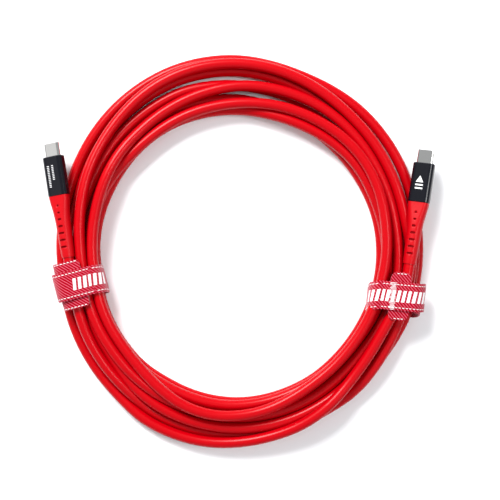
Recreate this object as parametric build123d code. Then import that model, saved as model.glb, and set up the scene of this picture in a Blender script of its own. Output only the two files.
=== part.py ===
"""USB-C tethering cable, wound in a flat coil and held by two hook-and-loop ties.

The frame is in millimetres with +Z up. The coil lies on the floor, z = 0, and its
centre line is the Z axis. Plug A points along +Y on the -X side of the coil and
plug B on the +X side. Angles go anticlockwise from +X, seen from above.
"""

import os
from math import cos, radians, sin, tan

from build123d import *

# ---------------------------------------------------------------- driving dimensions

CABLE_D = 5.5
CORE_D = 3.6

# The plug's own frame: +Y towards its mouth, X across it and Z through its top face.
# Every place along the plug is measured from the cable end of the strain relief.
SHELL_W = 8.25
SHELL_H = 2.40
SHELL_WALL = 0.30
SHELL_REACH = 6.65
SHELL_SEAT = 5.5

HOUSING_W = 10.8
HOUSING_H = 6.2
HOUSING_L = 19.8
HOUSING_R = 2.4
HOUSING_WALL = 0.9
HOUSING_FRONT_WALL = 1.0
HOUSING_EDGE = 0.35

RELIEF_L = 31.0
# place along the relief, width, height and corner radius of its cross-section
RELIEF_SECTIONS = [
    (0.0, 6.4, 6.4, 3.15),
    (5.0, 6.9, 6.9, 3.4),
    (11.0, 7.2, 7.0, 3.4),
    (17.0, 7.5, 6.9, 3.3),
    (22.0, 8.2, 6.6, 3.0),
    (27.0, 9.6, 6.2, 2.6),
    (RELIEF_L, 10.4, 6.0, 2.3),
]
SLOT_PITCH = 3.45
SLOT_FIRST = 5.2
SLOT_WIDTHS = [3.2, 3.1, 2.9, 2.5, 1.9, 1.4, 1.0]
SLOT_L = 1.0
SLOT_DEPTH = 0.55
SLOT_FLOOR = CABLE_D / 2 + 0.15

HOUSING_FRONT = RELIEF_L + HOUSING_L
SHELL_REAR = HOUSING_FRONT - SHELL_SEAT
MOUTH = HOUSING_FRONT + SHELL_REACH

CONTACTS = 12
CONTACT_PITCH = 0.5
CONTACT_W = 0.26
CONTACT_T = 0.12
CONTACT_TAIL = 1.4
TONGUE_GAP = 0.78

BOARD_W = 8.0
BOARD_L = 11.0
BOARD_T = 0.7
CHIP_SIZE = (2.6, 2.6, 0.65)
CAPACITOR_SIZE = (1.0, 0.5, 0.45)
CAPACITOR_PLACES = [(-3.3, 4.7), (-3.3, 6.0), (2.3, 4.7), (2.3, 6.0)]
CHIP_PLACE = 4.6

# The wires fan out from the core to the board in two rows. Each point of their path is
# a place along the plug, the spacing across it and the row's height.
WIRE_D = 0.74
WIRES_IN_ROW = 4
WIRE_BEND = 0.5

# Each plug: where its cable leaves the relief, which way it points, how far it drops
# towards its mouth and how far its top face leans towards -X.
PLUG_ROLL = 20.0
PLUG_DROP = 2.0
PLUGS = {
    "a": {"end": (-85.2, -2.6, 13.2), "heading": 98.9},
    "b": {"end": (84.2, -6.0, 13.2), "heading": 81.1},
}

# Each tie: the middle of its band, the way that runs outwards across the bundle, and
# the room inside its loop.
STRAP_T = 1.0
STRAP_W = 14.0
TIE_CORNER = 4.5
TAIL_GAP = 0.7
TAIL_DROP = 10.0
HOOK_T = 0.4
HOOK_MARGIN = 0.7
HEAD_W = 23.6
HEAD_L = 11.0
HEAD_CORNER = 3.5
HEAD_SLOT = (15.0, 2.2)
BAND_OVERLAP = 2.0
CLEAR_OVER_TIE = 5.0
TIES = {
    "a": {"middle": (-79.0, -15.2), "outwards": 194.6, "inside": (21.6, 15.6)},
    "b": {"middle": (77.2, -21.7), "outwards": 355.0, "inside": (24.6, 15.6)},
}

# The bundle of turns: angle, inner radius, outer radius, underside and top. Where it
# lies on the floor it is made a little too deep, and then cut flat at z = 0.
FLOOR_CUT = -0.5
COIL_STATIONS = [
    (-23, 68.6, 89.0, 1.2, 16.2),
    (-9, 68.6, 89.2, 1.2, 16.2),
    (5, 68.2, 90.5, FLOOR_CUT, 12.5),
    (25, 67.6, 93.0, FLOOR_CUT, 11.0),
    (50, 67.8, 94.8, FLOOR_CUT, 11.0),
    (75, 69.1, 95.8, FLOOR_CUT, 11.0),
    (100, 71.4, 98.8, FLOOR_CUT, 11.0),
    (125, 69.9, 97.2, FLOOR_CUT, 11.0),
    (150, 70.7, 93.6, FLOOR_CUT, 11.0),
    (170, 71.0, 91.6, FLOOR_CUT, 12.0),
    (184, 70.8, 90.6, 1.2, 16.2),
    (198, 70.8, 90.8, 1.2, 16.2),
    (213, 72.6, 94.4, FLOOR_CUT, 12.5),
    (235, 73.6, 96.3, FLOOR_CUT, 11.0),
    (255, 74.5, 98.6, FLOOR_CUT, 11.0),
    (275, 74.4, 97.6, FLOOR_CUT, 11.0),
    (300, 70.6, 91.9, FLOOR_CUT, 11.0),
    (320, 68.7, 88.6, FLOOR_CUT, 12.0),
    (337, 68.6, 89.0, 1.2, 16.2),
]
COIL_CORNER = 4.0
BEYOND = 150.0

# The cable's ends leave each relief in line with the plug, and then run into the coil
# through these points: angle, radius and height.
LEAD_STRAIGHT = 14.0
LEAD_STATIONS = {
    "a": [(204.0, 86.6, 12.0), (216.0, 88.3, 9.8), (228.0, 89.6, 8.2)],
    "b": [(-26.0, 81.4, 13.2), (-38.0, 82.4, 12.4), (-50.0, 85.0, 11.6)],
}

FIT = 0.3

# ---------------------------------------------------------------- placing


def plug_plane(plug):
    """The plug's own frame as a plane, whose origin is the cable end of the relief."""
    turn, drop, roll = (radians(v) for v in (plug["heading"], -PLUG_DROP, PLUG_ROLL))
    ahead = Vector(cos(turn) * cos(drop), sin(turn) * cos(drop), sin(drop))
    right = Vector(sin(turn), -cos(turn), 0)
    up = right.cross(ahead)
    return Plane(
        origin=plug["end"],
        x_dir=right * cos(roll) + up * sin(roll),
        z_dir=up * cos(roll) - right * sin(roll),
    )


def polar(angle, radius, z):
    """A point at an angle, in degrees, and a radius about the coil's axis."""
    return (radius * cos(radians(angle)), radius * sin(radians(angle)), z)


def along(section, start, end):
    """A sketch in the plug's X and Z, extruded from one place along it to another."""
    face = Plane(origin=(0, start, 0), x_dir=(1, 0, 0), z_dir=(0, 1, 0)) * section
    return extrude(face, amount=end - start, dir=(0, 1, 0))


def cuboid(x, y, z, low):
    """A box with the given X, Y and Z sizes, placed by its lowest corner."""
    return Pos(low[0], low[1], low[2]) * Box(x, y, z, align=(Align.MIN,) * 3)


def stadium(width, height):
    """The outline of a USB-C plug, its ends as near to half circles as the corners allow."""
    return RectangleRounded(width, height, height / 2 - 0.001)


# ---------------------------------------------------------------- plug


def shell():
    """The drawn steel tube that goes into the socket."""
    tube = stadium(SHELL_W, SHELL_H)
    hole = stadium(SHELL_W - 2 * SHELL_WALL, SHELL_H - 2 * SHELL_WALL)
    return along(tube - hole, SHELL_REAR, MOUTH)


INSERT_H = SHELL_H - 2 * SHELL_WALL
INSERT_FRONT = MOUTH - 1.6
INSERT_REAR = SHELL_REAR + 0.5
SLOT_H = TONGUE_GAP + 2 * CONTACT_T
SLOT_W = 6.7


def insert():
    """The plastic body that holds the contacts, open right through."""
    section = stadium(SHELL_W - 2 * SHELL_WALL, INSERT_H) - Rectangle(SLOT_W, SLOT_H)
    return along(section, INSERT_REAR, INSERT_FRONT)


def contacts(side):
    """One row of contacts on the slot's upper (+1) or lower (-1) wall."""
    rear = INSERT_REAR - CONTACT_TAIL
    low = TONGUE_GAP / 2 if side > 0 else -TONGUE_GAP / 2 - CONTACT_T
    first = -(CONTACTS - 1) / 2 * CONTACT_PITCH - CONTACT_W / 2
    size = (CONTACT_W, INSERT_FRONT - 0.4 - rear, CONTACT_T)
    row = [cuboid(*size, (first + n * CONTACT_PITCH, rear, low)) for n in range(CONTACTS)]
    return Compound(children=row)


def latch():
    """The U-shaped side latch: two arms along the slot's ends and a bar behind."""
    arm_t, half_h, bar_h = 0.22, 0.3, 0.3
    rear, front = INSERT_REAR + 2.0, INSERT_FRONT - 0.3
    arm_x = SLOT_W / 2 - arm_t
    arms = [
        cuboid(arm_t, front - rear, 2 * half_h, (x, rear, -half_h))
        for x in (-SLOT_W / 2, arm_x)
    ]
    bar = cuboid(SLOT_W, 0.5, bar_h, (-SLOT_W / 2, rear, -bar_h / 2))
    return arms[0] + arms[1] + bar


def ground_springs():
    """The two spring plates just inside the mouth, above and below the slot."""
    width, length, thick = 5.4, 1.1, 0.15
    top = INSERT_H / 2
    low = MOUTH - length - 0.35
    plates = [cuboid(width, length, thick, (-width / 2, low, z)) for z in (top - thick, -top)]
    return Compound(children=plates)


BOARD_FRONT = INSERT_REAR + 1.4
BOARD_REAR = BOARD_FRONT - BOARD_L
TONGUE_L = 3.0


def board():
    """The circuit board, with a narrow tongue that reaches in under the contacts."""
    tongue_w = SLOT_W - 0.4
    body_l = BOARD_L - TONGUE_L
    body = cuboid(BOARD_W, body_l, BOARD_T, (-BOARD_W / 2, BOARD_REAR, -BOARD_T / 2))
    tongue = cuboid(
        tongue_w, TONGUE_L, BOARD_T, (-tongue_w / 2, BOARD_FRONT - TONGUE_L, -BOARD_T / 2)
    )
    return body + tongue


def chips():
    """The marker chip on the board's top and small capacitors on both its faces."""
    chip_w = CHIP_SIZE[0]
    parts = [cuboid(*CHIP_SIZE, (-chip_w / 2, BOARD_REAR + CHIP_PLACE, BOARD_T / 2))]
    for x, place in CAPACITOR_PLACES:
        for low_z in (BOARD_T / 2, -BOARD_T / 2 - CAPACITOR_SIZE[2]):
            parts.append(cuboid(*CAPACITOR_SIZE, (x, BOARD_REAR + place, low_z)))
    return Compound(children=parts)


CAVITY_W = HOUSING_W - 2 * HOUSING_WALL
CAVITY_H = HOUSING_H - 2 * HOUSING_WALL
CAVITY_R = HOUSING_R - HOUSING_WALL
CAN_WALL = 0.2
CAN_GAP = 0.05
CAN_W = CAVITY_W - 2 * CAN_GAP
CAN_H = CAVITY_H - 2 * CAN_GAP
CAN_REAR = RELIEF_L + 2.4


def shield_can():
    """The folded steel can between the board and the housing."""
    corner = CAVITY_R - CAN_GAP
    outside = RectangleRounded(CAN_W, CAN_H, corner)
    inside = RectangleRounded(CAN_W - 2 * CAN_WALL, CAN_H - 2 * CAN_WALL, corner - CAN_WALL)
    return along(outside - inside, CAN_REAR, SHELL_REAR - 0.2)


BRAID_END = RELIEF_L + 0.6
WIRE_END = BOARD_REAR + 3.0
PAD_HEIGHT = BOARD_T / 2 + WIRE_D / 2 + 0.03
WIRE_PATH = [
    (BRAID_END, 0.82, 0.5),
    (BRAID_END + 0.9, 0.95, 0.55),
    (BOARD_REAR - 0.1, 1.75, PAD_HEIGHT),
    (WIRE_END, 1.80, PAD_HEIGHT + 0.001),
]


def wires():
    """Eight conductors that fan out from the core to the board's pads."""
    solids = []
    for row in (1, -1):
        for n in range(WIRES_IN_ROW):
            column = n - (WIRES_IN_ROW - 1) / 2
            points = [(column * across, place, row * high) for place, across, high in WIRE_PATH]
            path = FilletPolyline(*points, radius=WIRE_BEND)
            profile = Plane(path @ 0, z_dir=path % 0) * Circle(WIRE_D / 2)
            solids.append(sweep(profile, path))
    return Compound(children=solids)


def inner_mould(inside):
    """The plastic moulded round the solder joints, inside the can."""
    wall = CAN_WALL + CAN_GAP
    section = RectangleRounded(CAN_W - 2 * wall, CAN_H - 2 * wall, CAVITY_R - CAN_GAP - wall)
    mould = along(section, CAN_REAR, WIRE_END + 0.6)
    for piece in inside:
        mould -= piece
    return mould


FERRULE_R = CORE_D / 2 + 0.35
FERRULE_REAR = RELIEF_L - 2.4
FERRULE_FRONT = RELIEF_L + 0.4


def ferrule():
    """The brass ring crimped round the braid, just inside the relief."""
    ring = Circle(FERRULE_R) - Circle(CORE_D / 2)
    return along(ring, FERRULE_REAR, FERRULE_FRONT)


JACKET_END = RELIEF_L - 3.0


def jacket():
    """The cable's jacket inside the relief."""
    return along(Circle(CABLE_D / 2), 0, JACKET_END)


def braid():
    """The stripped and braided core, ahead of the jacket."""
    return along(Circle(CORE_D / 2), JACKET_END, BRAID_END)


def housing():
    """The anodised sleeve: a rounded tube with a front wall round the shell."""
    section = RectangleRounded(HOUSING_W, HOUSING_H, HOUSING_R)
    body = along(section, RELIEF_L, HOUSING_FRONT)
    rims = body.edges().filter_by_position(Axis.Y, RELIEF_L, RELIEF_L)
    rims += body.edges().filter_by_position(Axis.Y, HOUSING_FRONT, HOUSING_FRONT)
    body = chamfer(rims, HOUSING_EDGE)
    cavity = RectangleRounded(CAVITY_W, CAVITY_H, CAVITY_R)
    wall_rear = HOUSING_FRONT - HOUSING_FRONT_WALL
    body -= along(cavity, RELIEF_L, wall_rear)
    return body - along(stadium(SHELL_W, SHELL_H), wall_rear - 1, HOUSING_FRONT + 1)


def relief_body(grow=0.0):
    """The relief's tapered outside, from round at the cable to the housing's outline."""
    faces = []
    for place, width, height, corner in RELIEF_SECTIONS:
        outline = RectangleRounded(width + 2 * grow, height + 2 * grow, corner + grow)
        faces.append(Plane(origin=(0, place, 0), x_dir=(1, 0, 0), z_dir=(0, 1, 0)) * outline)
    return loft(faces)


def relief_height(place):
    """The relief's height at a place along it, between two of its sections."""
    for (low, _, first, _), (high, _, last, _) in zip(RELIEF_SECTIONS, RELIEF_SECTIONS[1:]):
        if low <= place <= high:
            return first + (last - first) * (place - low) / (high - low)


def relief():
    """The moulded rubber, with its flexing slots and the bore for the cable."""
    body = relief_body()
    for n, width in enumerate(SLOT_WIDTHS):
        place = SLOT_FIRST + n * SLOT_PITCH
        slot = Pos(0, place, 0) * SlotOverall(max(width, SLOT_L + 0.01), SLOT_L)
        bottom = max(relief_height(place) / 2 - SLOT_DEPTH, SLOT_FLOOR)
        for side in (1, -1):
            body -= extrude(Pos(0, 0, side * bottom) * slot, 2.0 * side)
    body -= along(Circle(CABLE_D / 2), -1, JACKET_END)
    return body - along(Circle(FERRULE_R), JACKET_END, RELIEF_L + 1)


def plug_pieces():
    """Every piece of one plug, in the plug's own frame."""
    pieces = {
        "plug_shell": shell(),
        "contact_insert": insert(),
        "contacts_upper": contacts(1),
        "contacts_lower": contacts(-1),
        "side_latch": latch(),
        "ground_springs": ground_springs(),
        "paddle_board": board(),
        "board_chips": chips(),
        "shield_can": shield_can(),
        "wires": wires(),
        "crimp_ferrule": ferrule(),
        "braid_end": braid(),
        "cable_end": jacket(),
        "plug_housing": housing(),
        "strain_relief": relief(),
    }
    inside = [pieces[name] for name in ("paddle_board", "wires", "board_chips")]
    pieces["inner_mould"] = inner_mould(inside)
    return pieces


# ---------------------------------------------------------------- cable


def coil_ring():
    """The outer shape of all the turns together, as one ring."""
    faces = []
    for angle, inner, outer, low, high in COIL_STATIONS:
        middle = polar(angle, (inner + outer) / 2, (low + high) / 2)
        plane = Plane(
            origin=middle,
            x_dir=polar(angle, 1, 0),
            z_dir=(-sin(radians(angle)), cos(radians(angle)), 0),
        )
        faces.append(plane * RectangleRounded(outer - inner, high - low, COIL_CORNER))
    half = len(faces) // 2
    ring = loft(faces[: half + 1]) + loft(faces[half:])
    above_floor = Cylinder(BEYOND, BEYOND, align=(Align.CENTER, Align.CENTER, Align.MIN))
    return ring & above_floor


def lead(side):
    """A plain tube of cable from a relief into the coil, as gently bent as its points allow."""
    plug = plug_plane(PLUGS[side])
    points = [plug.from_local_coords(Vector(0, y, 0)) for y in (0, -LEAD_STRAIGHT)]
    points += [Vector(*polar(*station)) for station in LEAD_STATIONS[side]]
    runs = [end - start for start, end in zip(points, points[1:])]
    radii = []
    for before, after in zip(runs, runs[1:]):
        half_turn = radians(before.get_angle(after)) / 2
        radii.append(0.45 * min(before.length, after.length) / tan(half_turn))
    path = FilletPolyline(*points, radius=radii)
    return sweep(Plane(path @ 0, z_dir=path % 0) * Circle(CABLE_D / 2), path)


# ---------------------------------------------------------------- ties


def tie_plane(tie):
    """The tie's own frame: X outwards across the bundle, Y along it, Z up."""
    x, y = tie["middle"]
    return Plane(origin=(x, y, 0), x_dir=polar(tie["outwards"], 1, 0), z_dir=(0, 0, 1))


def strap_shell(inside, start, end):
    """A rounded loop round the bundle, between two distances from its inner face."""
    width, height = inside
    centre = STRAP_T + height / 2

    def outline(offset):
        return RectangleRounded(width + 2 * offset, height + 2 * offset, TIE_CORNER + offset)

    face = Plane(origin=(0, -STRAP_W / 2, centre), x_dir=(1, 0, 0), z_dir=(0, -1, 0)) * (
        outline(end) - outline(start)
    )
    return extrude(face, amount=STRAP_W, dir=(0, 1, 0))


def block(low, high):
    """A box between two corners."""
    return cuboid(*(b - a for a, b in zip(low, high)), low)


def hinge_point(inside):
    """Where the tail bends, in the tie's own frame: x and z."""
    width, height = inside
    x = width / 2 - TIE_CORNER
    return x, STRAP_T + height + STRAP_T + TAIL_GAP + STRAP_T / 2


def band(inside):
    """The strap once round the bundle, then over the head to where the tail starts."""
    width, height = inside
    straight = width / 2 - TIE_CORNER
    top = STRAP_T + height
    head_start = straight - HEAD_L
    loop = strap_shell(inside, 0, STRAP_T)
    loop -= block((head_start, -STRAP_W, top - 0.01), (straight, STRAP_W, top + 2 * STRAP_T))
    over = block(
        (head_start - BAND_OVERLAP, -STRAP_W / 2, top + STRAP_T),
        (straight - STRAP_T / 2 - FIT, STRAP_W / 2, top + 2 * STRAP_T),
    )
    return loop + over


def head(inside):
    """The wide head plate on top of the bundle, with its slot."""
    width, height = inside
    straight = width / 2 - TIE_CORNER
    middle_x = straight - HEAD_L / 2
    outline = RectangleRounded(HEAD_L, HEAD_W, HEAD_CORNER)
    slot = Pos(-HEAD_L / 4, 0) * Rectangle(HEAD_SLOT[1], HEAD_SLOT[0])
    return extrude(Pos(middle_x, 0, STRAP_T + height) * (outline - slot), STRAP_T)


def tail(inside):
    """The free end over the outer corner and down the outer side."""
    width, height = inside
    x, z = hinge_point(inside)
    tab = strap_shell(inside, STRAP_T + TAIL_GAP, 2 * STRAP_T + TAIL_GAP)
    far = x + width
    tab &= block((x, -STRAP_W, z - STRAP_T / 2 - TAIL_DROP), (far, STRAP_W, z + STRAP_T))
    pin = Plane(origin=(x, -STRAP_W / 2, z), x_dir=(1, 0, 0), z_dir=(0, -1, 0)) * Circle(
        STRAP_T / 2
    )
    return tab + extrude(pin, amount=STRAP_W, dir=(0, 1, 0))


def tie_clearance(inside):
    """What a tie takes out of the coil: all round its loop, and over it for the head."""
    height = inside[1]
    loop = strap_shell(inside, -FIT, CLEAR_OVER_TIE)
    side = HEAD_W / 2 + FIT
    low = STRAP_T + height - FIT
    return loop + block((-inside[0], -side, low), (inside[0], side, low + CLEAR_OVER_TIE))


def hook_patch(inside):
    """The hook tape on the tail's inner face, along its straight part and inside its edges."""
    width, height = inside
    x = width / 2 + STRAP_T + TAIL_GAP
    corner_z = STRAP_T + height - TIE_CORNER
    bottom = hinge_point(inside)[1] - STRAP_T / 2 - TAIL_DROP + HOOK_MARGIN
    side = STRAP_W / 2 - HOOK_MARGIN
    return block((x - HOOK_T, -side, bottom), (x, side, corner_z))


# ---------------------------------------------------------------- build


def main():
    os.makedirs("parts", exist_ok=True)
    parts = {}
    pockets = []
    pieces = plug_pieces()
    clearance = relief_body(FIT)
    clearance += along(
        RectangleRounded(HOUSING_W + 2, HOUSING_H + 2, HOUSING_R + 1), RELIEF_L - 1, MOUTH
    )
    for side, plug in PLUGS.items():
        place = plug_plane(plug).location
        for name, piece in pieces.items():
            parts[f"{name}_{side}"] = place * piece
        pockets.append(place * clearance)

    for side in PLUGS:
        parts[f"cable_lead_{side}"] = lead(side)
        pockets.append(parts[f"cable_lead_{side}"])
    for tie in TIES.values():
        pockets.append(tie_plane(tie).location * tie_clearance(tie["inside"]))
    ring = coil_ring()
    for pocket in pockets:
        ring -= pocket
    parts["cable_coil"] = ring

    for side, tie in TIES.items():
        frame = tie_plane(tie)
        inside = tie["inside"]
        for name, piece in {
            "band": band(inside),
            "head": head(inside),
            "tail": tail(inside),
            "hook_patch": hook_patch(inside),
        }.items():
            parts[f"tie_{name}_{side}"] = frame.location * piece

    for name, piece in parts.items():
        export_step(piece, f"parts/{name}.step")


main()
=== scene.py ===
"""Looks for the coiled USB-C tethering cable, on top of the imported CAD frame.

Sizes are written in millimetres and turned to metres by MM, except those of the camera,
the lights and the floor, which are in metres. Each plug and each tie has its own frame,
the same as in the part's source.
"""

import itertools
import math

import bmesh
import bpy
import numpy as np
from mathutils import Matrix, Vector


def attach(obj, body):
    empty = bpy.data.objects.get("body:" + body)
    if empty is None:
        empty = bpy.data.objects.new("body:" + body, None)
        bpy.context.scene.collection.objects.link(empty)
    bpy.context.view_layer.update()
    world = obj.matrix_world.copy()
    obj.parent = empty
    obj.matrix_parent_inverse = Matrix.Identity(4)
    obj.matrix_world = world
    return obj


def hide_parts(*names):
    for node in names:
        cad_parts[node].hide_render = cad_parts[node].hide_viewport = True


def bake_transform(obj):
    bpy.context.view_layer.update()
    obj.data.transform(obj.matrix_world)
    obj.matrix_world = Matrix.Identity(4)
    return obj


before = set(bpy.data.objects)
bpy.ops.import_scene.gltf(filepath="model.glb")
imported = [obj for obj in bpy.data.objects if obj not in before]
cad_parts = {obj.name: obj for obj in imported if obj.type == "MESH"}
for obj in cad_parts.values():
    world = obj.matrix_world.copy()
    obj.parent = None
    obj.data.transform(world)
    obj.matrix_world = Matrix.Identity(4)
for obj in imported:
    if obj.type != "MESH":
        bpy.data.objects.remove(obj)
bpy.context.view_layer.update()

MM = 0.001
SIDES = ("a", "b")

# ---------------------------------------------------------------- sizes

# These are the CAD's. Only RELIEF_R and SLOT_HALF are rounded: the first is half the
# relief's width beside the coil, and the second is a little over half the widest slot.
CABLE_D = 5.5

PLUG_ROLL = 20.0
PLUG_DROP = 2.0
PLUG_END = {"a": (-85.2, -2.6, 13.2), "b": (84.2, -6.0, 13.2)}
PLUG_HEADING = {"a": 98.9, "b": 81.1}
PLUG_TOP = 3.1
RELIEF_LENGTH = 31
RELIEF_R = 3.5
SLOT_FLOOR = 2.9
SLOT_HALF = 1.7

STRAP_T = 1.0
STRAP_W = 14.0
HEAD_W = 23.6
TIE_CORNER = 4.5
TIE_HEIGHT = 15.6
TIE_WIDTH = {"a": 21.6, "b": 24.6}
TIE_MIDDLE = {"a": (-79.0, -15.2), "b": (77.2, -21.7)}
TIE_OUTWARDS = {"a": 194.6, "b": 355.0}
TAIL_GAP = 0.7
TAIL_DROP = 10.0

# ---------------------------------------------------------------- places


def polar(angle, radius, z):
    """A point at an angle, in degrees, and a radius about the coil's axis."""
    turn = math.radians(angle)
    return Vector((radius * math.cos(turn), radius * math.sin(turn), z))


def plug_matrix(side):
    """The plug's own frame in millimetres: Y to its mouth, Z through its top face."""
    turn, drop, roll = (
        math.radians(v) for v in (PLUG_HEADING[side], -PLUG_DROP, PLUG_ROLL)
    )
    ahead = polar(PLUG_HEADING[side], math.cos(drop), math.sin(drop))
    right = Vector((math.sin(turn), -math.cos(turn), 0))
    up = right.cross(ahead)
    across = right * math.cos(roll) + up * math.sin(roll)
    top = up * math.cos(roll) - right * math.sin(roll)
    matrix = Matrix((across, ahead, top)).transposed().to_4x4()
    matrix.translation = Vector(PLUG_END[side])
    return matrix


def tie_matrix(side):
    """The tie's own frame in millimetres: X outwards, Y along the bundle, Z up."""
    out = polar(TIE_OUTWARDS[side], 1, 0)
    matrix = Matrix((out, Vector((-out.y, out.x, 0)), Vector((0, 0, 1)))).transposed().to_4x4()
    matrix.translation = Vector((*TIE_MIDDLE[side], 0))
    return matrix


# ---------------------------------------------------------------- materials



def set_inputs(node, **values):
    """Sets a shader node's inputs, each by its name with _ for a space."""
    for socket, value in values.items():
        node.inputs[socket.replace("_", " ")].default_value = value
    return node


def raise_surface(tree, height, strength, depth):
    """Bumps the material by the height that a socket gives, with its depth in mm."""
    raised = set_inputs(tree.nodes.new("ShaderNodeBump"), Strength=strength, Distance=depth * MM)
    tree.links.new(height, raised.inputs["Height"])
    tree.links.new(raised.outputs["Normal"], tree.nodes["Principled BSDF"].inputs["Normal"])


def material(name, colour, roughness, metallic=0.0, bump=None, **settings):
    """A principled material; bump is (scale per metre, strength, depth in mm)."""
    made = bpy.data.materials.new(name)
    made.use_nodes = True
    tree = made.node_tree
    set_inputs(
        tree.nodes["Principled BSDF"],
        Base_Color=(*colour, 1),
        Roughness=roughness,
        Metallic=metallic,
        **settings,
    )
    if bump:
        scale, strength, depth = bump
        noise = set_inputs(tree.nodes.new("ShaderNodeTexNoise"), Scale=scale, Detail=4)
        place = tree.nodes.new("ShaderNodeTexCoord")
        tree.links.new(place.outputs["Object"], noise.inputs["Vector"])
        raise_surface(tree, noise.outputs["Fac"], strength, depth)
    return made


# The weave: how fine its ribs and its fuzz are, what each adds to its height, the heights
# between which the dark colour turns into the light one, and how strong and deep it is.
RIB_SCALE, FUZZ_SCALE = 0.37, 5.0
RIB_SHARE, FUZZ_SHARE = 0.50, 0.40
DARK_BELOW, LIGHT_ABOVE = 0.54, 0.70
WEAVE_STRENGTH, WEAVE_DEPTH = 0.8, 0.25
# Painted sheen: the cloth is mixed towards a pale side colour, by up to a share, as it turns from
# facing up to facing sideways, standing in for light caught by its fuzz.
FACING_UP, FACING_SIDEWAYS = 0.95, 0.3
SIDE_SHEEN_COLOUR, SIDE_SHEEN_SHARE = (0.74, 0.33, 0.38), 0.22


def woven(name, dark, light, roughness, **settings):
    """Twill tape: slanted ribs in two close colours, raised, and with a painted sheen that makes it
    paler where it faces sideways.
    """
    made = material(name, light, roughness, **settings)
    tree = made.node_tree
    cloth = tree.nodes.new("ShaderNodeAttribute")
    cloth.attribute_name = "cloth"
    ribs = set_inputs(
        tree.nodes.new("ShaderNodeTexWave"), Scale=RIB_SCALE, Distortion=0.6, Detail=2, Detail_Scale=3
    )
    ribs.bands_direction = "DIAGONAL"
    fuzz = set_inputs(tree.nodes.new("ShaderNodeTexNoise"), Scale=FUZZ_SCALE, Detail=6)
    for pattern in (ribs, fuzz):
        tree.links.new(cloth.outputs["Vector"], pattern.inputs["Vector"])

    rib_height = tree.nodes.new("ShaderNodeMath")
    rib_height.operation = "MULTIPLY"
    rib_height.inputs[1].default_value = RIB_SHARE
    tree.links.new(ribs.outputs["Fac"], rib_height.inputs[0])
    height = tree.nodes.new("ShaderNodeMath")
    height.operation = "MULTIPLY_ADD"
    height.inputs[1].default_value = FUZZ_SHARE
    tree.links.new(fuzz.outputs["Fac"], height.inputs[0])
    tree.links.new(rib_height.outputs[0], height.inputs[2])
    raise_surface(tree, height.outputs[0], WEAVE_STRENGTH, WEAVE_DEPTH)

    ramp = tree.nodes.new("ShaderNodeValToRGB")
    stops = ((DARK_BELOW, dark), (LIGHT_ABOVE, light))
    for stop, (position, colour) in zip(ramp.color_ramp.elements, stops):
        stop.position = position
        stop.color = (*colour, 1)
    tree.links.new(height.outputs[0], ramp.inputs["Fac"])

    # Painted sheen: the colour turns paler where the cloth faces sideways, standing in for light caught
    # by its fuzz at grazing angles.
    facing = tree.nodes.new("ShaderNodeNewGeometry")
    upright = tree.nodes.new("ShaderNodeSeparateXYZ")
    tree.links.new(facing.outputs["Normal"], upright.inputs[0])
    sheen_amount = set_inputs(
        tree.nodes.new("ShaderNodeMapRange"),
        From_Min=FACING_UP,
        From_Max=FACING_SIDEWAYS,
        To_Max=SIDE_SHEEN_SHARE,
    )
    tree.links.new(upright.outputs["Z"], sheen_amount.inputs["Value"])
    painted_sheen = tree.nodes.new("ShaderNodeMix")
    painted_sheen.data_type = "RGBA"
    painted_sheen.inputs["B"].default_value = (*SIDE_SHEEN_COLOUR, 1)
    tree.links.new(sheen_amount.outputs["Result"], painted_sheen.inputs["Factor"])
    tree.links.new(ramp.outputs["Color"], painted_sheen.inputs["A"])
    tree.links.new(painted_sheen.outputs["Result"], tree.nodes["Principled BSDF"].inputs["Base Color"])
    return made


JACKET = material(
    "jacket_red", (0.45, 0.0, 0.0035), 0.26, bump=(900, 0.10, 0.05), Specular_IOR_Level=0.14
)
RELIEF = material(
    "relief_red", (0.46, 0.0003, 0.004), 0.36, bump=(900, 0.15, 0.05), Specular_IOR_Level=0.16
)
# Painted shade: a darker red on the slots' floors and walls stands in for the shade inside them.
SLOT_SHADE_RED = material("relief_slot_shade", (0.20, 0.0, 0.0015), 0.6, Specular_IOR_Level=0.05)
ANODISED = material("anodised_black", (0.002, 0.002, 0.005), 0.17, Specular_IOR_Level=0.30)
STEEL = material("plug_steel", (0.62, 0.60, 0.58), 0.10, metallic=1.0)
INSERT = material("insert_plastic", (0.02, 0.02, 0.02), 0.5)
GOLD = material("contact_gold", (0.83, 0.60, 0.22), 0.25, metallic=1.0)
BOARD = material("board", (0.02, 0.16, 0.08), 0.45)
CHIP = material("chip", (0.03, 0.03, 0.03), 0.5)
CAN = material("can_steel", (0.62, 0.62, 0.62), 0.35, metallic=1.0)
WIRE = material("wire_jacket", (0.75, 0.75, 0.72), 0.4)
BRASS = material("ferrule_brass", (0.74, 0.54, 0.24), 0.32, metallic=1.0)
BRAID = material("braid", (0.66, 0.63, 0.60), 0.4, metallic=1.0, bump=(4000, 0.5, 0.1))
MOULD = material("inner_plastic", (0.80, 0.79, 0.75), 0.5)
STRAP = woven(
    "strap_red", (0.31, 0.0, 0.008), (0.58, 0.10, 0.15), 0.85,
    Specular_IOR_Level=0.05, Sheen_Weight=0.30, Sheen_Roughness=0.30,
)
HOOKS = material("strap_hooks", (0.36, 0.008, 0.03), 0.8, bump=(3500, 0.8, 0.3))
WHITE = material("mark_white", (0.80, 0.79, 0.79), 0.6)

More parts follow.
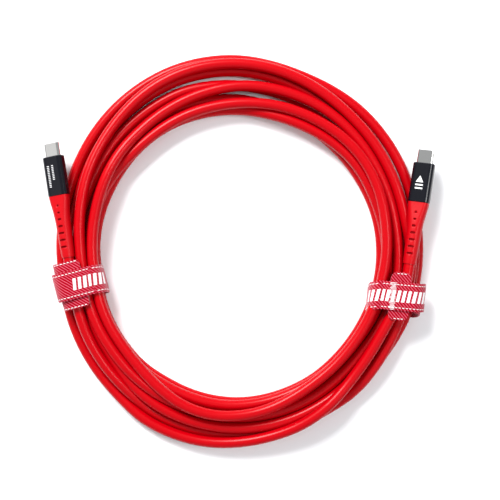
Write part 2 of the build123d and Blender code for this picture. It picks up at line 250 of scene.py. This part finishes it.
NODE_MATERIALS = {
    "plug_shell": (STEEL, "plug_steel"),
    "contact_insert": (INSERT, "insert_plastic"),
    "contacts_upper": (GOLD, "contact_gold"),
    "contacts_lower": (GOLD, "contact_gold"),
    "side_latch": (STEEL, "plug_steel"),
    "ground_springs": (STEEL, "plug_steel"),
    "paddle_board": (BOARD, "board"),
    "board_chips": (CHIP, "chip"),
    "shield_can": (CAN, "can_steel"),
    "wires": (WIRE, "wire_jacket"),
    "crimp_ferrule": (BRASS, "ferrule_brass"),
    "braid_end": (BRAID, "braid"),
    "inner_mould": (MOULD, "inner_plastic"),
    "plug_housing": (ANODISED, "anodised_black"),
    "strain_relief": (RELIEF, "relief_red"),
    "cable_end": (JACKET, "jacket_red"),
    "cable_lead": (JACKET, "jacket_red"),
    "cable_coil": (JACKET, "jacket_red"),
    "tie_band": (STRAP, "strap_red"),
    "tie_head": (STRAP, "strap_red"),
    "tie_tail": (STRAP, "strap_red"),
    "tie_hook_patch": (HOOKS, "strap_hooks"),
}

# Most nodes are one of a pair, and have their side after the name, as in plug_shell_a.
for name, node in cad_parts.items():
    kind = name if name in NODE_MATERIALS else name[: -len("_a")]
    finish, slot = NODE_MATERIALS[kind]
    node.data.materials.clear()
    node.data.materials.append(finish)

# ---------------------------------------------------------------- camera, light and floor

camera = bpy.data.objects.new("camera", bpy.data.cameras.new("camera"))
bpy.context.scene.collection.objects.link(camera)
camera.location = (0.005, 0.001, 0.600)
camera.data.lens = 85
camera.data.sensor_width = 36
bpy.context.scene.camera = camera
bpy.context.scene.view_settings.view_transform = "Standard"


def area_light(name, place, width, length, power):
    """A soft box that faces the coil."""
    data = bpy.data.lights.new(name, "AREA")
    data.shape = "RECTANGLE"
    data.size = width
    data.size_y = length
    data.energy = power
    lamp = bpy.data.objects.new(name, data)
    bpy.context.scene.collection.objects.link(lamp)
    lamp.location = place
    lamp.rotation_mode = "QUATERNION"
    lamp.rotation_quaternion = (-Vector(place)).to_track_quat("-Z", "Y")


area_light("key", (-0.62, 1.05, 1.18), 0.6, 0.6, 45)
area_light("fill", (0.9, -0.7, 1.4), 1.4, 1.4, 3)
area_light("card", (-1.1, -0.03, 0.97), 0.4, 0.5, 0.36)
area_light("strip", (0.66, 0.1, 1.25), 0.2, 0.5, 5)

world = bpy.data.worlds.new("studio")
world.use_nodes = True
set_inputs(world.node_tree.nodes["Background"], Color=(0.92, 0.97, 1.0, 1), Strength=0.56)
bpy.context.scene.world = world

FLOOR_HALF, FLOOR_Z = 3.0, -0.0002
floor_mesh = bpy.data.meshes.new("floor")
floor_mesh.from_pydata(
    [(x * FLOOR_HALF, y * FLOOR_HALF, FLOOR_Z) for x, y in ((-1, -1), (1, -1), (1, 1), (-1, 1))],
    [],
    [(0, 1, 2, 3)],
)
floor = bpy.data.objects.new("floor", floor_mesh)
bpy.context.scene.collection.objects.link(floor)
floor_mesh.materials.append(material("floor", (0.92, 0.92, 0.93), 0.8))

# ---------------------------------------------------------------- the coiled cable

# Each half turn is a lane: the radius at some angles, anticlockwise. The lower lanes run
# from tie A round to tie B, and the upper ones from tie B back to tie A.
LOWER_LANES = {
    "first": [
        (228, 89.4), (240, 90.6), (255, 91.0), (270, 90.2), (300, 89.5), (320, 87.8), (337, 86.4),
    ],
    "low_mid": [(198, 79.3), (220, 80.3), (240, 82.0), (260, 83.3), (305, 81.5), (330, 80.0)],
    "arch": [
        (198, 73.8), (220, 74.9), (230, 76.1), (240, 79.1), (250, 81.6), (260, 82.5),
        (270, 81.5), (280, 79.6), (290, 76.6), (300, 74.4), (320, 72.3), (337, 71.9),
    ],
    "inner_high": [(198, 75.8), (240, 77.6), (255, 78.1), (283, 75.8), (300, 74.3), (330, 73.3)],
    "innermost": [
        (198, 74.4), (210, 75.7), (225, 76.9), (240, 77.4), (270, 78.4), (285, 76.9),
        (300, 74.2), (315, 72.5), (330, 71.8),
    ],
    "buried": [(198, 79.9), (240, 83.2), (270, 84.0), (300, 79.9), (330, 77.9)],
    "outer_high": [
        (198, 82.8), (225, 84.8), (240, 86.1), (260, 87.4), (270, 88.1), (290, 87.6),
        (306, 85.3), (325, 83.6),
    ],
    "outer_low": [
        (198, 85.9), (240, 86.0), (280, 85.3), (298, 84.8), (310, 86.6), (320, 88.1), (335, 88.9),
    ],
    "last": [
        (198, 90.9), (210, 92.4), (225, 94.1), (240, 95.4), (250, 97.0), (258, 97.4),
        (265, 96.3), (275, 94.4), (285, 92.3), (295, 89.6), (305, 86.7),
    ],
}
UPPER_LANES = {
    "outermost": [
        (0, 89.3), (10, 90.2), (30, 92.2), (50, 93.8), (70, 93.7), (80, 94.9), (90, 96.7),
        (100, 97.5), (110, 97.5), (120, 96.7), (140, 94.1), (160, 90.9), (180, 89.4),
    ],
    "crossing": [
        (0, 85.2), (10, 83.4), (20, 82.9), (30, 83.3), (45, 85.2), (60, 89.6), (70, 91.8), (80, 93.7),
        (90, 94.8), (100, 95.2), (110, 94.6), (120, 93.3), (140, 88.3), (160, 83.3), (180, 79.0),
    ],
    "outer": [
        (0, 82.4), (20, 83.2), (40, 83.9), (62, 86.3), (80, 90.0), (90, 91.8), (110, 92.8), (130, 91.5),
        (150, 88.5), (170, 85.8), (180, 85.0),
    ],
    "middle": [
        (0, 78.8), (20, 81.1), (40, 83.1), (60, 83.3), (90, 83.6), (110, 81.1), (130, 78.3),
        (150, 76.0), (170, 73.9), (180, 73.4),
    ],
    "beneath": [
        (0, 77.5), (20, 80.0), (30, 81.0), (60, 81.0), (90, 84.0), (110, 86.3), (130, 84.5),
        (150, 81.5), (180, 82.0),
    ],
    "inner_top": [
        (0, 73.0), (10, 73.5), (25, 75.8), (37, 76.9), (50, 75.8), (60, 74.8), (90, 74.3),
        (110, 73.8), (130, 72.8), (150, 74.8), (180, 76.0),
    ],
    "inner": [
        (0, 73.5), (20, 72.4), (37, 73.4), (65, 72.2), (80, 73.2), (95, 75.0), (110, 76.2),
        (130, 75.5), (150, 74.4), (180, 73.4),
    ],
    "inner_low": [
        (0, 72.0), (30, 71.1), (60, 71.8), (75, 73.1), (90, 74.8), (110, 75.4), (120, 76.9),
        (135, 78.4), (150, 79.4), (180, 79.7),
    ],
}
# The whole cable from plug A to plug B: a lane, then its place in the tie after it, as a
# radius and a height. The lanes are lower and upper ones by turns.
ROUTE = [
    ("first", (86.4, 8.4)),
    ("crossing", (78.4, 13.4)),
    ("low_mid", (79.6, 8.7)),
    ("middle", (73.0, 13.4)),
    ("arch", (72.3, 13.4)),
    ("inner_top", (75.6, 8.7)),
    ("inner_high", (74.2, 8.7)),
    ("inner", (72.5, 3.9)),
    ("innermost", (71.6, 3.9)),
    ("inner_low", (78.0, 3.9)),
    ("buried", (77.3, 3.9)),
    ("beneath", (81.4, 8.7)),
    ("outer_high", (83.0, 3.9)),
    ("outer", (83.5, 3.9)),
    ("outer_low", (89.4, 3.9)),
    ("outermost", (88.9, 3.9)),
    ("last", None),
]
# What lies on top of what, from the floor up: the upper lanes, then the lower ones.
STACK = [
    "outermost", "inner_low", "outer", "beneath", "inner", "inner_top", "middle", "crossing",
    "outer_low", "buried", "innermost", "inner_high", "outer_high", "low_mid", "first", "arch",
    "last",
]
# The cable's ends start a little inside the relief and run straight on behind it. Then they
# pass these points: angle, radius and height.
LEAD_INSIDE = 2.0
LEAD_STRAIGHT = 14.0
LEAD_STATIONS = {
    "a": [(204, 86.6, 12.0), (216, 88.3, 9.8), (228, 89.6, 8.2)],
    "b": [(-26, 81.4, 13.2), (-38, 82.4, 12.4), (-50, 85.0, 11.6)],
}

# The coil's stations, in degrees: how far apart, where the first and last lanes begin and
# end, where the others do, and which stations are inside each tie.
STEP = 10
FIRST_ANGLE, LAST_ANGLE = 240, 300
UPPER_ENDS, LOWER_ENDS = (0, 180), (200, 330)
TIE_ANGLES = {"a": (190,), "b": (340, 350)}

# How low and how high the cable's middle can lie, outside the ties and inside them.
TIE_SLACK = 0.1
LOWEST_Z, HIGHEST_Z = CABLE_D / 2, 40.0
TIE_LOWEST_Z = LOWEST_Z + STRAP_T + TIE_SLACK
TIE_HIGHEST_Z = STRAP_T + TIE_HEIGHT - CABLE_D / 2

# The plug's length in whole millimetres. Beyond this radius from the coil's axis its line
# is in the relief's wide end or in the housing, and counts as this thick.
PLUG_LENGTH = 58
WIDE_FROM, WIDE_R = 92, 4.8
# Two points further apart round the coil than this are not on the same side of it.
SAME_SIDE = 40

# The settling: its rounds, and how many at its end are gentle.
ROUNDS, GENTLE_ROUNDS = 700, 100
# What share of the way a turn moves in each round, to lie straight between its neighbours,
# back to its lane, and back to its height in a tie.
RADIUS_SHARE, Z_SHARE, GENTLE_SHARE = 0.06, 0.22, 0.2
LANE_SHARE, TIE_SHARE = 0.05, 0.3
# How far a free turn drops in each round.
DROP, GENTLE_DROP = 0.05, 0.01
# What is kept free between turns, and between a turn and an obstacle. Their middles count
# as the least gap apart when they are nearer, so that no push is endless.
TURN_GAP, OBSTACLE_GAP, LEAST_GAP = 0.04, 0.05, 0.01
# Turns nearer than this share of the cable's thickness start on top of each other.
STACKED_SHARE = 0.8
# How often the turns push each other in each round.
PUSHES = 2


def lead_points(side):
    """The end's points from the relief into the coil, in millimetres."""
    plug = plug_matrix(side)
    points = [plug @ Vector((0, y, 0)) for y in (LEAD_INSIDE, 0.0, -LEAD_STRAIGHT)]
    return points + [polar(*station) for station in LEAD_STATIONS[side]]


def coil_stations():
    """Every station of the cable in the coil: angle, radius, height in the tie, stack order."""
    stations = []
    for n, (lane, place) in enumerate(ROUTE):
        lower = n % 2 == 0
        table = LOWER_LANES[lane] if lower else UPPER_LANES[lane]
        low, high = LOWER_ENDS if lower else UPPER_ENDS
        if n == 0:
            low = FIRST_ANGLE
        if place is None:
            high = LAST_ANGLE
        for angle in range(low, high + 1, STEP):
            radius = np.interp(angle, *zip(*table))
            stations.append((angle, radius, np.nan, STACK.index(lane)))
        if place is not None:
            for angle in TIE_ANGLES["b" if lower else "a"]:
                stations.append((angle, *place, STACK.index(lane)))
    return stations


def degrees_past(point, angle):
    """How far a point is past an angle, in degrees, from -180 to 180."""
    return (math.degrees(math.atan2(point.y, point.x)) - angle + 180) % 360 - 180


def crossing_at(points, angle):
    """Where a line of points first crosses an angle, or None."""
    for a, b in zip(points, points[1:]):
        turn_a, turn_b = degrees_past(a, angle), degrees_past(b, angle)
        if turn_a * turn_b <= 0 and abs(turn_a - turn_b) < SAME_SIDE:
            return a.lerp(b, turn_a / (turn_a - turn_b) if turn_a != turn_b else 0.0)
    return None


def obstacles(angle):
    """Where reliefs, housings and cable ends cross a station: radius, height and half size."""
    found = []
    for side in SIDES:
        plug = plug_matrix(side)
        plug_line = [plug @ Vector((0, y, 0)) for y in range(PLUG_LENGTH)]
        spot = crossing_at(plug_line, angle)
        if spot is not None:
            radius = spot.xy.length
            found.append((radius, spot.z, WIDE_R if radius > WIDE_FROM else RELIEF_R))
        spot = crossing_at(lead_points(side)[1:], angle)
        if spot is not None:
            found.append((spot.xy.length, spot.z, CABLE_D / 2))
    return found


def stack_up(radius, z, free, group):
    """Puts each free turn at a station on top of the turns before it that it overlaps."""
    for n, i in enumerate(group):
        for j in group[:n]:
            gap = abs(radius[i] - radius[j])
            if free[i] and gap < CABLE_D * STACKED_SHARE:
                z[i] = max(z[i], z[j] + math.sqrt(CABLE_D**2 - gap**2))


def push_apart(radius, z, group, spots):
    """Pushes the turns at a station off each other, and off the obstacles there."""
    reach = CABLE_D + TURN_GAP
    for n, i in enumerate(group):
        for j in group[n + 1 :]:
            dr, dz = radius[i] - radius[j], z[i] - z[j]
            gap = math.hypot(dr, dz)
            if gap < reach:
                push = (reach - gap) / 2 / max(gap, LEAST_GAP)
                radius[i] += dr * push
                radius[j] -= dr * push
                z[i] += dz * push
                z[j] -= dz * push
        for spot_r, spot_z, size in spots:
            dr, dz = radius[i] - spot_r, z[i] - spot_z
            gap = math.hypot(dr, dz)
            need = CABLE_D / 2 + size + OBSTACLE_GAP
            if gap < need:
                radius[i] += dr * (need - gap) / max(gap, LEAST_GAP)
                z[i] += dz * (need - gap) / max(gap, LEAST_GAP)


def settle():
    """Lays the turns on each other: they drop, push each other apart and straighten."""
    angle, wanted, tie_z, order = (np.array(values) for values in zip(*coil_stations()))
    angle %= 360
    held = ~np.isnan(tie_z)
    low = np.where(held, TIE_LOWEST_Z, LOWEST_Z)
    high = np.where(held, TIE_HIGHEST_Z, HIGHEST_Z)
    radius = wanted.copy()
    z = np.where(held, tie_z, LOWEST_Z)
    groups = [(np.flatnonzero(angle == a), obstacles(a)) for a in range(0, 360, STEP)]
    for group, _ in groups:
        stack_up(radius, z, ~held, sorted(group, key=lambda i: order[i]))
    for turn in range(ROUNDS):
        gentle = turn >= ROUNDS - GENTLE_ROUNDS
        for values, share in ((radius, RADIUS_SHARE), (z, Z_SHARE)):
            to_middle = (values[:-2] + values[2:]) / 2 - values[1:-1]
            values[1:-1] += share * to_middle * (GENTLE_SHARE if gentle else 1.0)
        radius += LANE_SHARE * (wanted - radius)
        z -= np.where(held, 0.0, GENTLE_DROP if gentle else DROP)
        z += np.where(held, TIE_SHARE * (np.nan_to_num(tie_z) - z), 0.0)
        for _ in range(PUSHES):
            for group, spots in groups:
                push_apart(radius, z, group, spots)
            np.clip(z, low, high, out=z)
    # A spline runs inside its points, so the points stand a little further out.
    outside = radius / math.cos(math.radians(STEP / 2))
    return [polar(*station) for station in zip(angle, outside, z)]


def cable_cord():
    """The whole cable as one spline, from plug A round the coil to plug B."""
    places = lead_points("a") + settle() + lead_points("b")[::-1]
    curve = bpy.data.curves.new("cable", "CURVE")
    curve.dimensions = "3D"
    curve.bevel_depth = CABLE_D / 2 * MM
    curve.bevel_resolution = 5
    curve.resolution_u = 4
    curve.use_fill_caps = True
    spline = curve.splines.new("NURBS")
    spline.points.add(len(places) - 1)
    for point, place in zip(spline.points, places):
        point.co = (*(place * MM), 1)
    spline.order_u = 3
    spline.use_endpoint_u = True
    curve.materials.append(JACKET)
    made = bpy.data.objects.new("cable", curve)
    bpy.context.scene.collection.objects.link(made)
    return made


cable = cable_cord()
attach(cable, "root")
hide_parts("cable_coil", "cable_lead_a", "cable_lead_b")

# ---------------------------------------------------------------- strain reliefs

# Edges sharper than this stay sharp, in degrees.
SHARP = 35
# In metres: points nearer than the first are joined, and the second is the cut's precision.
JOINED, CUT = 1e-6, 1e-7
# How level a slot's floor is, how upright its walls are, and how far its depth may be off.
LEVEL, UPRIGHT = 0.999, 0.02
DEPTH_UNDER, DEPTH_OVER = 0.05, 0.06


def link_mesh(name, mesh):
    """A new object for the mesh, smooth but for its real edges."""
    made = bpy.data.objects.new(name, mesh)
    bpy.context.scene.collection.objects.link(made)
    mesh.shade_smooth()
    mesh.set_sharp_from_angle(angle=math.radians(SHARP))
    return made


def cut_into_rings(mesh, plug):
    """Cuts the mesh across, at every millimetre along the relief."""
    cutting = bmesh.new()
    cutting.from_mesh(mesh)
    bmesh.ops.remove_doubles(cutting, verts=cutting.verts, dist=JOINED)
    for place in range(1, RELIEF_LENGTH):
        bmesh.ops.bisect_plane(
            cutting,
            geom=cutting.verts[:] + cutting.edges[:] + cutting.faces[:],
            dist=CUT,
            plane_co=(plug @ Vector((0, place, 0))) * MM,
            plane_no=plug.to_3x3() @ Vector((0, 1, 0)),
        )
    cutting.to_mesh(mesh)
    cutting.free()


def paint_slot_shade(mesh, plug):
    """Paints the floors and walls of the slots a darker red, as painted shade in these recesses."""
    mesh.materials.append(SLOT_SHADE_RED)
    to_plug = plug.inverted()
    for face in mesh.polygons:
        spot = to_plug @ (face.center / MM)
        depth = abs(spot.z)
        level = abs((to_plug.to_3x3() @ face.normal).z)
        is_floor = level > LEVEL and SLOT_FLOOR - DEPTH_UNDER < depth < SLOT_FLOOR + DEPTH_OVER
        is_wall = level < UPRIGHT and depth > SLOT_FLOOR - DEPTH_UNDER and abs(spot.x) < SLOT_HALF
        if is_floor or is_wall:
            face.material_index = 1


def bending_copy(node, name, side):
    """A copy of a deforming node, cut into short rings so that it bends smoothly, with painted shade in
    its slots.
    """
    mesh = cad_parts[node].data.copy()
    plug = plug_matrix(side)
    cut_into_rings(mesh, plug)
    paint_slot_shade(mesh, plug)
    piece = link_mesh(name, mesh)
    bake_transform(piece)
    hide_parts(node)


for side in SIDES:
    bending_copy(f"strain_relief_{side}", f"relief_{side}", side)
    bending_copy(f"cable_end_{side}", f"cable_in_relief_{side}", side)

# ---------------------------------------------------------------- marks on the housings

MARK_LOW, MARK_HIGH = PLUG_TOP - 0.02, PLUG_TOP + 0.03
TICK_L, TICK_PITCH = 0.34, 0.86
MARK_B_X, MARK_B_HALF = -0.5, 1.9
WEDGE_TIP_Y, WEDGE_BASE_Y = 44.2, 40.9
BAR_B_L, BAR_B_PLACES = 0.75, (39.2, 37.5)

# A box's faces, with its points in the order that boxes() gives them.
BOX_FACES = (
    (0, 1, 3, 2), (4, 6, 7, 5), (0, 4, 5, 1), (2, 3, 7, 6), (0, 2, 6, 4), (1, 5, 7, 3),
)
# A wedge's faces: its underside, its top and its three sides.
WEDGE_FACES = ((2, 1, 0), (3, 4, 5), (0, 1, 4, 3), (1, 2, 5, 4), (2, 0, 3, 5))


def printed_mark(name, side, points, faces):
    """A white mark on a housing, from points in the plug's frame."""
    plug = plug_matrix(side)
    mesh = bpy.data.meshes.new(name)
    mesh.from_pydata([(plug @ Vector(point)) * MM for point in points], [], faces)
    mesh.materials.append(WHITE)
    mark = bpy.data.objects.new(name, mesh)
    bpy.context.scene.collection.objects.link(mark)
    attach(mark, f"plug_{side}")


def boxes(corners):
    """The points and faces of some boxes, each from its low and high corner."""
    points, faces = [], []
    for low, high in corners:
        faces += [tuple(len(points) + k for k in face) for face in BOX_FACES]
        points += itertools.product(*zip(low, high))
    return points, faces


def tick_row(x, start, count, height):
    """A row of equal ticks along the housing, standing across it."""
    low_x = x - height / 2
    places = [start + n * TICK_PITCH for n in range(count)]
    return [((low_x, y, MARK_LOW), (low_x + height, y + TICK_L, MARK_HIGH)) for y in places]


def crossbars():
    """Plain bars across the housing, behind the wedge."""
    low_x, high_x = MARK_B_X - MARK_B_HALF, MARK_B_X + MARK_B_HALF
    return [((low_x, y, MARK_LOW), (high_x, y + BAR_B_L, MARK_HIGH)) for y in BAR_B_PLACES]


def wedge():
    """The points of a plain wedge that points at the mouth."""
    outline = ((0.0, WEDGE_TIP_Y), (-MARK_B_HALF, WEDGE_BASE_Y), (MARK_B_HALF, WEDGE_BASE_Y))
    return [(x + MARK_B_X, y, z) for z in (MARK_LOW, MARK_HIGH) for x, y in outline]


ticks = tick_row(x=-2.2, start=35.5, count=13, height=1.15)
ticks += tick_row(x=0.2, start=39.0, count=9, height=1.05)
printed_mark("marks_a", "a", *boxes(ticks))
printed_mark("bars_b", "b", *boxes(crossbars()))
printed_mark("wedge_b", "b", wedge(), WEDGE_FACES)

# ---------------------------------------------------------------- cloth

# The cloth's grid: points apart along it, columns across it, how thin its edges get, and the
# waves in its edges: depth, rate and start.
PITCH, COLUMNS = 0.8, 12
EDGE_THINNING, EDGE_POWER = 0.35, 8
EDGE_WAVES = ((0.10, 2.1, 0), (0.05, 5.3, 1))

# Printed and stitched pieces: how many parts along each, how thick, and how far sunk in.
PRINT_PARTS, PRINT_T, PRINT_SUNK = 3, 0.10, 0.02
STITCH_Y, STITCH_L, STITCH_PITCH, STITCH_HALF = 5.7, 1.05, 1.75, 0.16
BAR_L, BAR_H, BAR_SLANT, BAR_PITCH = 1.5, 5.7, 0.9, 2.6
THREADS, THREAD_FIRST_Y, THREAD_PITCH = 22, -6.6, 0.62
THREAD_HALF, THREAD_SLANT = 0.13, 0.3
# How far a thread reaches back, how much more some do, its share of that ahead, and how
# fast the threads vary.
THREAD_REACH, THREAD_VARIES, THREAD_AHEAD = 1.1, 0.8, 0.7
THREAD_RATE = 2.3


def arc(centre, radius, start, end, count=9):
    """Points on an arc, in the tie's X and Z."""
    turns = [math.radians(start + (end - start) * n / (count - 1)) for n in range(count)]
    return [(centre[0] + radius * math.cos(t), centre[1] + radius * math.sin(t)) for t in turns]


def length_of(line):
    """How long a line of points is."""
    return sum(math.dist(a, b) for a, b in zip(line, line[1:]))


def run_along(line):
    """How far along the line each of its points is."""
    return np.concatenate([[0], np.cumsum(np.linalg.norm(np.diff(line, axis=0), axis=1))])


def even(points):
    """The same line with points at an even pitch."""
    line = np.array(points, float)
    run = run_along(line)
    at = np.linspace(0, run[-1], max(2, int(run[-1] / PITCH) + 1))
    return np.column_stack([np.interp(at, run, line[:, k]) for k in (0, 1)])


def half_width(s, total, width, rounded):
    """Half the width of a strap at a place along it, with round corners and a wavy edge."""
    half = width / 2
    near_end = min(s, total - s)
    if near_end < rounded:
        half -= rounded - math.sqrt(max(0.0, rounded**2 - (rounded - near_end) ** 2))
    return half + sum(depth * math.sin(s * rate + start) for depth, rate, start in EDGE_WAVES)


def close_cloth(shape, outer, inner):
    """Faces both sides of a cloth, its two edges and its two ends."""
    for rows, flip in ((outer, False), (inner, True)):
        for this, after in zip(rows, rows[1:]):
            for k in range(COLUMNS):
                quad = (this[k], this[k + 1], after[k + 1], after[k])
                shape.faces.new(quad[::-1] if flip else quad)
    for k in (0, COLUMNS):
        for n in range(len(outer) - 1):
            shape.faces.new((outer[n][k], outer[n + 1][k], inner[n + 1][k], inner[n][k]))
    for top, under in ((outer[0], inner[0]), (outer[-1], inner[-1])):
        for k in range(COLUMNS):
            shape.faces.new((top[k], top[k + 1], under[k + 1], under[k]))


def ribbon(name, line, width, matrix, printed=(), rounded=0.0, skew=0.0):
    """A strap of cloth along a line in the tie's X and Z, with printed or stitched pieces.

    Each piece is (start, end, low y, high y, slant) in millimetres along and across it.
    The outer face is on the left of the line's way, and skew is how far its middle drifts
    along the bundle.
    """
    line = even(line)
    way = np.gradient(line, axis=0)
    way /= np.linalg.norm(way, axis=1)[:, None]
    normal = np.column_stack([-way[:, 1], way[:, 0]])
    run = run_along(line)
    total = run[-1]
    shape = bmesh.new()
    cloth = shape.verts.layers.float_vector.new("cloth")

    def vertex(s, y, h, layer, shift=0.0):
        """A point h above the cloth's middle, and its place on the flat cloth."""
        at = s + shift
        x, z = (np.interp(at, run, line[:, k] + h * normal[:, k]) for k in (0, 1))
        drift = skew * math.sin(math.pi * at / total)
        made = shape.verts.new((matrix @ Vector((x, y + drift, z))) * MM)
        made[cloth] = (s, y, layer)
        return made

    grids = []
    for h in (STRAP_T / 2, -STRAP_T / 2):
        rows = []
        for s in run:
            half = half_width(s, total, width, rounded)
            across = [2 * k / COLUMNS - 1 for k in range(COLUMNS + 1)]
            thin = [1 - EDGE_THINNING * abs(share) ** EDGE_POWER for share in across]
            rows.append([vertex(s, half * share, h * t, 0) for share, t in zip(across, thin)])
        grids.append(rows)
    close_cloth(shape, *grids)

    for start, end, low, high, slant in printed:
        rings = []
        for n in range(PRINT_PARTS + 1):
            s = start + (end - start) * n / PRINT_PARTS
            ring = []
            for y, h in ((low, 0.0), (high, 0.0), (high, PRINT_T), (low, PRINT_T)):
                shift = slant * (y - low) / (high - low)
                ring.append(vertex(s, y, STRAP_T / 2 - PRINT_SUNK + h, 1, shift))
            rings.append(ring)
        faces = [shape.faces.new(rings[0]), shape.faces.new(rings[-1][::-1])]
        for this, after in zip(rings, rings[1:]):
            for k, after_k in ((0, 1), (1, 2), (2, 3), (3, 0)):
                faces.append(shape.faces.new((this[k], after[k], after[after_k], this[after_k])))
        for face in faces:
            face.material_index = 1

    bmesh.ops.recalc_face_normals(shape, faces=shape.faces)
    mesh = bpy.data.meshes.new(name)
    shape.to_mesh(mesh)
    shape.free()
    mesh.materials.append(STRAP)
    mesh.materials.append(WHITE)
    return link_mesh(name, mesh)


def stitches(start, end, offset=STITCH_Y):
    """Dashes along both edges of the strap."""
    found = []
    s = start
    while s + STITCH_L < end:
        for y in (-offset, offset):
            found.append((s, s + STITCH_L, y - STITCH_HALF, y + STITCH_HALF, 0.0))
        s += STITCH_PITCH
    return found


def print_bars(start, end):
    """Plain slanted bars along the middle of the strap."""
    found = []
    s = start
    while s + BAR_L + BAR_SLANT <= end:
        found.append((s, s + BAR_L, -BAR_H / 2, BAR_H / 2, BAR_SLANT))
        s += BAR_PITCH
    return found


# Painted highlight: pale threads stand in for the light caught by the strap's crest.
def crest_highlight_threads(middle):
    """Pale threads of uneven length across the strap, a painted highlight where its crest catches the
    light.
    """
    found = []
    for n in range(THREADS):
        y = THREAD_FIRST_Y + n * THREAD_PITCH
        reach = THREAD_REACH + THREAD_VARIES * math.sin(n * THREAD_RATE) ** 2
        start, end = middle - reach, middle + reach * THREAD_AHEAD
        found.append((start, end, y - THREAD_HALF, y + THREAD_HALF, THREAD_SLANT))
    return found


# ---------------------------------------------------------------- ties

# How far inwards each head starts on top, how far round the outer corner it goes, in
# degrees, and how round its own corners are.
HEAD_START = {"a": -2.2, "b": -3.4}
HEAD_ROUND = {"a": 80, "b": 0}
HEAD_ROUNDED = {"a": 1.4, "b": 3.0}
# How far short of the outer corner a head ends that doesn't go round it.
HEAD_SHORT = 0.9
# The tail climbs onto the head between the first two, counted inwards from the head's
# start. The third is how far before the outer corner its flat run ends.
CLIMB_START, CLIMB_END, TAIL_TURN = 2.4, 0.6, 0.5
# How much of the band's end and of the tail is printed, and the pale threads painted on tail B as a
# highlight on its crest.
BAND_PRINTED = 7.8
TAIL_PRINT_START, TAIL_PRINT_END = 0.05, {"a": 12.0, "b": 26.0}
CREST_HIGHLIGHT = {"a": [], "b": crest_highlight_threads(middle=6.2)}
BAND_SKEW = {"a": 1.5, "b": -4.2}
# Where the stitches start, how far they run into the head's round end, and how far they are
# from the head's edge.
BAND_STITCH_START, TAIL_STITCH_START = 0.6, 0.8
HEAD_STITCH_OVER, HEAD_STITCH_EDGE = 0.3, 0.7


def tie_lines(side):
    """The middle lines of a tie's head, band and tail."""
    half, bottom, top = TIE_WIDTH[side] / 2, STRAP_T, STRAP_T + TIE_HEIGHT
    straight = half - TIE_CORNER
    corner_r = TIE_CORNER + STRAP_T / 2
    outer_corner = (straight, top - TIE_CORNER)
    first_z, second_z = top + STRAP_T / 2, top + STRAP_T * 1.5

    start, turn = HEAD_START[side], HEAD_ROUND[side]
    if turn:
        head = [(start, first_z)] + arc(outer_corner, corner_r, 90, 90 - turn)
        band = arc(outer_corner, corner_r, 90 - turn, 0)
    else:
        seam = (straight - HEAD_SHORT, first_z)
        head = [(start, first_z), seam]
        band = [seam] + arc(outer_corner, corner_r, 90, 0)
    band += arc((straight, bottom + TIE_CORNER), corner_r, 0, -90)
    band += arc((-straight, bottom + TIE_CORNER), corner_r, -90, -180)
    band += arc((-straight, top - TIE_CORNER), corner_r, -180, -270)

    tail = [
        (-straight, first_z),
        (start - CLIMB_START, first_z),
        (start - CLIMB_END, second_z),
        (straight - TAIL_TURN, second_z + TAIL_GAP / 2),
    ]
    tail += arc(outer_corner, TIE_CORNER + STRAP_T * 1.5 + TAIL_GAP, 90, 0)
    tail_end_z = second_z + TAIL_GAP - STRAP_T / 2 - TAIL_DROP
    tail.append((half + STRAP_T * 1.5 + TAIL_GAP, tail_end_z))
    return head, band, tail


def make_tie(side):
    """A tie's head, band and tail, from its three lines."""
    matrix = tie_matrix(side)
    head_line, band_line, tail_line = tie_lines(side)
    head_run, band_run, tail_run = (length_of(line) for line in (head_line, band_line, tail_line))
    rounded = HEAD_ROUNDED[side]
    head_stitches = stitches(
        rounded, head_run - rounded + HEAD_STITCH_OVER, HEAD_W / 2 - HEAD_STITCH_EDGE
    )
    band_print = stitches(BAND_STITCH_START, band_run) + print_bars(band_run - BAND_PRINTED, band_run)
    tail_print = stitches(TAIL_STITCH_START, tail_run)
    tail_print += print_bars(TAIL_PRINT_START, TAIL_PRINT_END[side]) + CREST_HIGHLIGHT[side]
    head = ribbon(f"strap_head_{side}", head_line, HEAD_W, matrix, head_stitches, rounded=rounded)
    band = ribbon(f"strap_band_{side}", band_line, STRAP_W, matrix, band_print, skew=BAND_SKEW[side])
    tail = ribbon(f"strap_tail_{side}", tail_line, STRAP_W, matrix, tail_print)

    for piece, node in ((head, "tie_head"), (band, "tie_band")):
        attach(piece, "root")
        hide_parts(f"{node}_{side}")
    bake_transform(tail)
    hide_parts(f"tie_tail_{side}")


for side in SIDES:
    make_tie(side)
